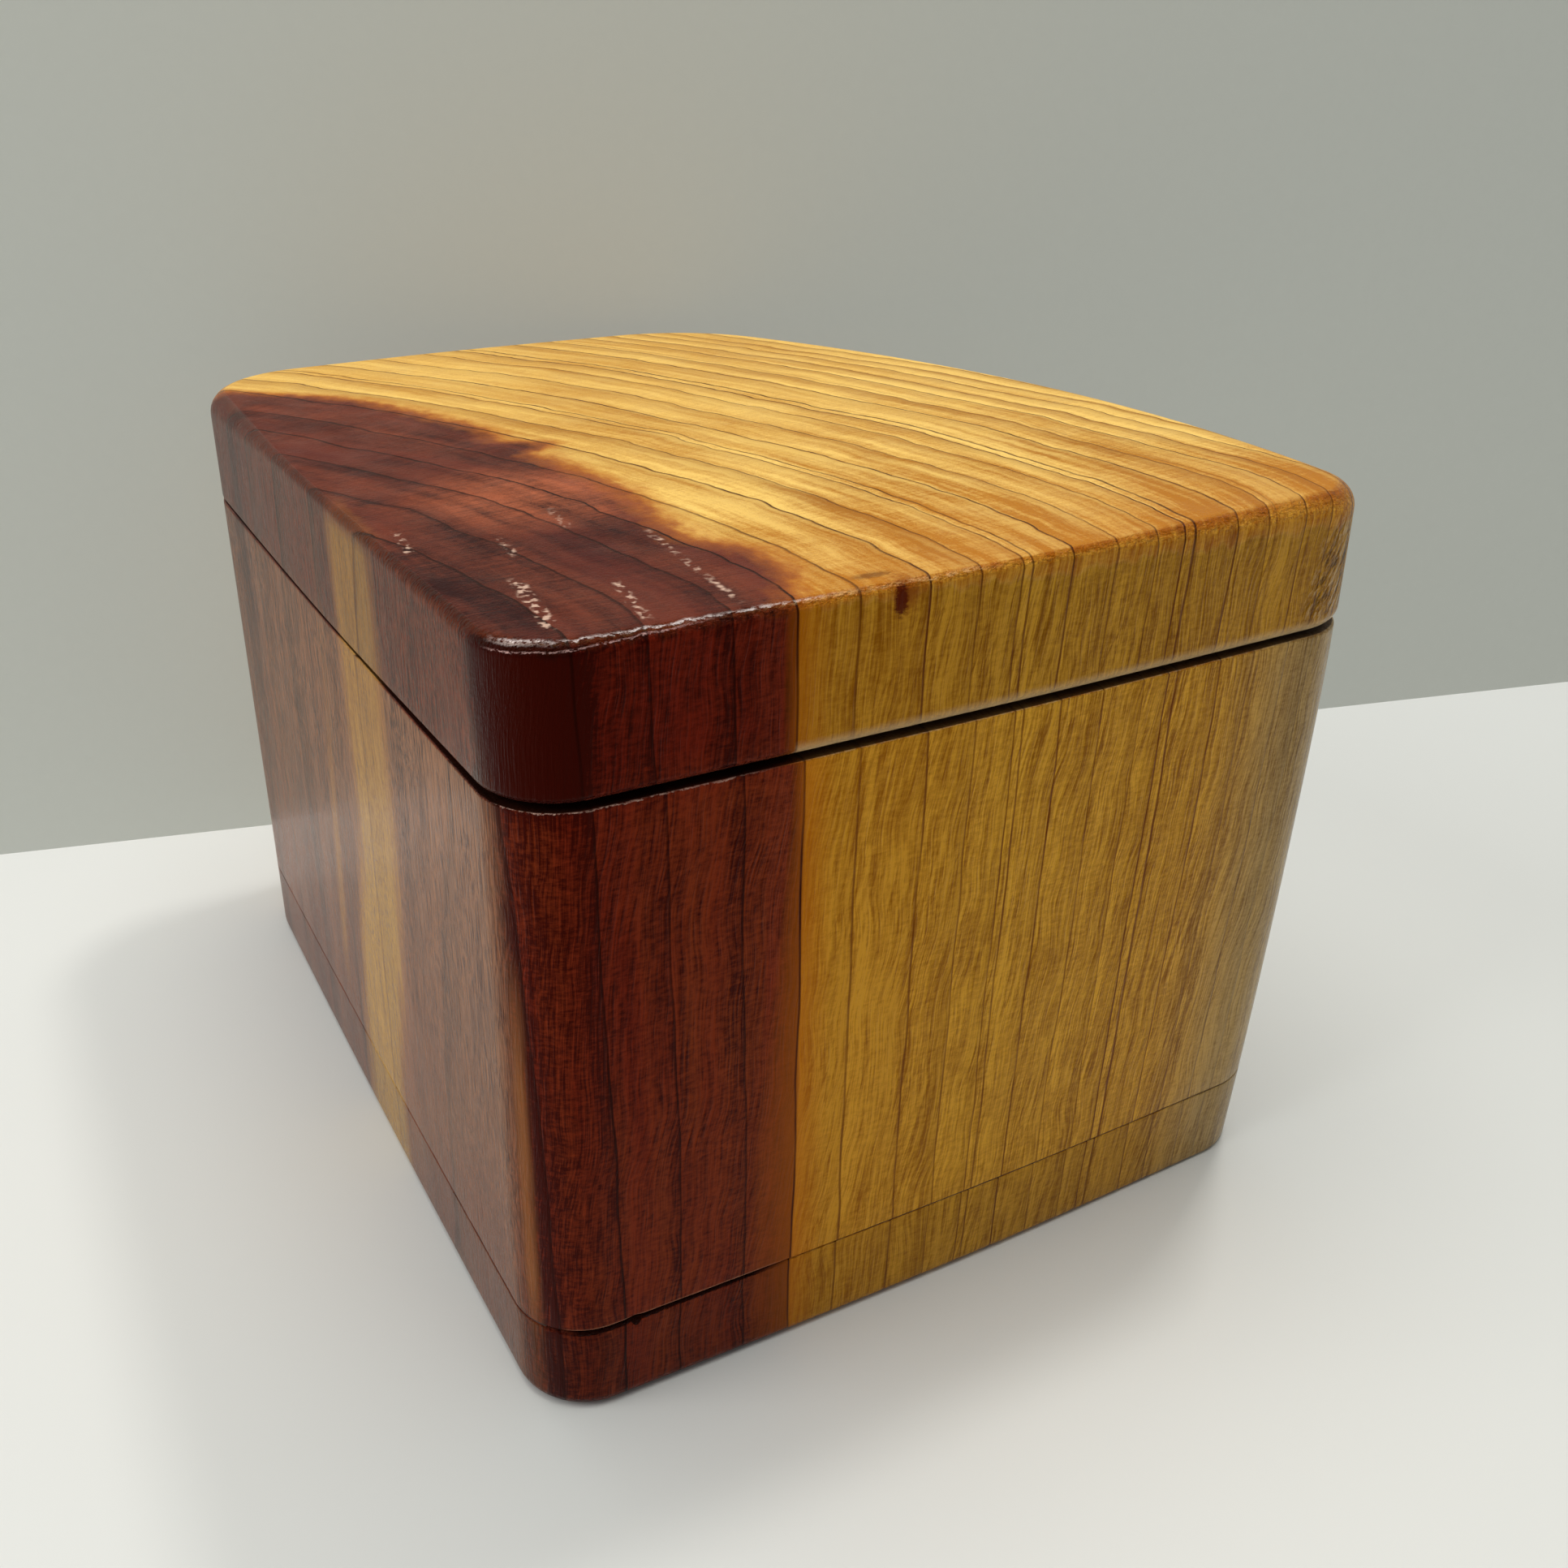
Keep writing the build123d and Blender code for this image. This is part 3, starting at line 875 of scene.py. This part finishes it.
rows.append(ring_of(table_round + foot_margin + lean(0), 0.0))
fill, low_pole = disc_rows(rows[-1], 5)
rows += fill[::-1]
bands = [1 if i < bare_to else 0 for i in range(len(rows) - 1)]
floor_slice = put_mesh("cedar_floor", rows, bands, [cedar_floor, raw_floor], [top_pole, low_pole])
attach(floor_slice, "box")
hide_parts("base_slab")

# Glue line: a film a hair inside the faces, which follows the lean of the bark side and stands in furthest
# by the front corner, where the joint is open
open_middle, open_half, open_depth, film_back = 17, 14, 1.2, 0.12
on_front = outer_out[:, 1] < -0.6
open_joint = np.exp(-((outer[:, 0] - open_middle) / open_half) ** 2) * on_front
film_inset = film_back + open_depth * open_joint + lean(wall_foot)
rows = [ring_of(film_inset, level) for level in (wall_foot, floor_top)]
rows += [ring_of(0, level, inner, inner_out) for level in (floor_top, wall_foot)]
film = put_mesh("glue_film", rows, [0, 0, 0, 0], [glue])
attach(film, "box")
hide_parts("base_glue_line")

# The plug and the glue above it keep the CAD's own meshes
for name, material in [("lid_plug", raw_wall), ("plug_glue_line", glue)]:
    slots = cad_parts[name].data.materials
    slots.clear()
    slots.append(material)


def laminate():
    """White melamine laminate, pressed smooth: an even, pale table, which shines only a little."""
    material, node = new_material("white_laminate")
    haze = node("TexNoise", [node("TexCoord").outputs["Object"], 6.0, 3.0, 0.5])
    white = node("Mix", [haze, linear("#dadad5"), linear("#dfdfda")], data_type="RGBA")
    node("OutputMaterial", [node("BsdfPrincipled", {"Base Color": white, "Roughness": 0.5, "IOR": 1.4})])
    return material


def emulsion():
    """Grey emulsion, rolled on a wall: matt, with the roller's fine mottle, and a painted glow, more on the
    left.
    It shows only from its front, so that the box is seen from behind too."""
    material, node = new_material("grey_emulsion")
    place = node("TexCoord").outputs["Object"]
    mottle = node("TexNoise", [place, 500.0, 3.0, 0.6])
    grey = node("Mix", [mottle, linear("#93968f"), linear("#979a93")], data_type="RGBA")
    rightward = node("SeparateXYZ", [place]).outputs[0]
    # Painted glow: the wall gives off a faint light of its own, a little more on the left
    painted_glow = node("Emission", [linear("#fcfff4"), node("MapRange", [rightward, -0.15, 0.25, 0.25, 0.20])])
    matt = node("AddShader", [node("BsdfDiffuse", [grey, 0.0]), painted_glow])
    behind = node("NewGeometry").outputs["Backfacing"]
    node("OutputMaterial", [node("MixShader", [behind, matt, node("BsdfTransparent")])])
    return material


def stage_plane(name, corners, material):
    """A flat rectangle of the surroundings, from its four corners in millimetres."""
    mesh = bpy.data.meshes.new(name)
    mesh.from_pydata([tuple(c * MM for c in corner) for corner in corners], [], [(0, 1, 2, 3)])
    mesh.materials.append(material)
    plane = bpy.data.objects.new(name, mesh)
    bpy.context.scene.collection.objects.link(plane)
    return plane


# Table, and the wall behind it, which runs at a slant and lights nothing
half_table = 3000
table_corners = [(x * half_table, y * half_table, 0) for x, y in ((-1, -1), (1, -1), (1, 1), (-1, 1))]
stage_plane("table", table_corners, laminate())
wall_at, wall_slope, half_wall = np.array([-107.6, 110.2]), -0.2483, 2500
left_end, right_end = (wall_at + side * half_wall * np.array([1, wall_slope]) for side in (-1, 1))
wall_corners = [(*left_end, 0), (*right_end, 0), (*right_end, half_wall), (*left_end, half_wall)]
backdrop = stage_plane("backdrop", wall_corners, emulsion())
backdrop.visible_diffuse = False
backdrop.visible_shadow = False

world = bpy.data.worlds.new("room")
bpy.context.scene.world = world
world.use_nodes = True
room_light = world.node_tree.nodes["Background"].inputs
room_light["Color"].default_value = (0.95, 0.97, 1.0, 1)
room_light["Strength"].default_value = 0.22


def softbox(name, place, aim, width, watts, colour):
    """A square lamp at a place in millimetres, turned to an aim."""
    lamp = bpy.data.lights.new(name, "AREA")
    lamp.size = width * MM
    lamp.energy = watts
    lamp.color = colour
    stand = bpy.data.objects.new(name, lamp)
    turn = (Vector(aim) - Vector(place)).to_track_quat("-Z", "Y").to_matrix().to_4x4()
    stand.matrix_world = Matrix.Translation(Vector(place) * MM) @ turn
    bpy.context.scene.collection.objects.link(stand)


softbox("ceiling", (-60, 60, 1500), (-20, 40, 0), 1400, 16.0, (0.98, 1.0, 0.975))
softbox("left", (-900, 40, 620), (-60, 0, 30), 600, 4.0, (0.98, 0.99, 1.0))
softbox("spark", (290, 90, 924), (-40, -72, 99), 90, 2.0, (1.0, 0.98, 0.95))

# Camera where the photograph was taken from, with its turns in radians
camera_place = (-100.38, -186.44, 148.13)
tilt_down, turn_right, roll = 0.4695, 0.4473, 0.0166
level_ahead = np.array([math.sin(turn_right), math.cos(turn_right), 0.0])
level_right = np.array([math.cos(turn_right), -math.sin(turn_right), 0.0])
ahead = level_ahead * math.cos(tilt_down) - np.array([0.0, 0.0, math.sin(tilt_down)])
level_down = np.cross(ahead, level_right)
right = level_right * math.cos(roll) + level_down * math.sin(roll)
down = level_down * math.cos(roll) - level_right * math.sin(roll)
view = Matrix(np.column_stack([right, -down, -ahead]).tolist()).to_4x4()
camera_data = bpy.data.cameras.new("camera")
camera_data.lens = 33.28
camera_data.sensor_width = 36.0
camera_data.shift_x = 0.089
camera_data.clip_start = 0.01
camera_data.clip_end = 20.0
camera = bpy.data.objects.new("camera", camera_data)
camera.matrix_world = Matrix.Translation(Vector(camera_place) * MM) @ view
bpy.context.scene.collection.objects.link(camera)
bpy.context.scene.camera = camera
bpy.context.scene.view_settings.view_transform = "Standard"

bpy.context.view_layer.update()
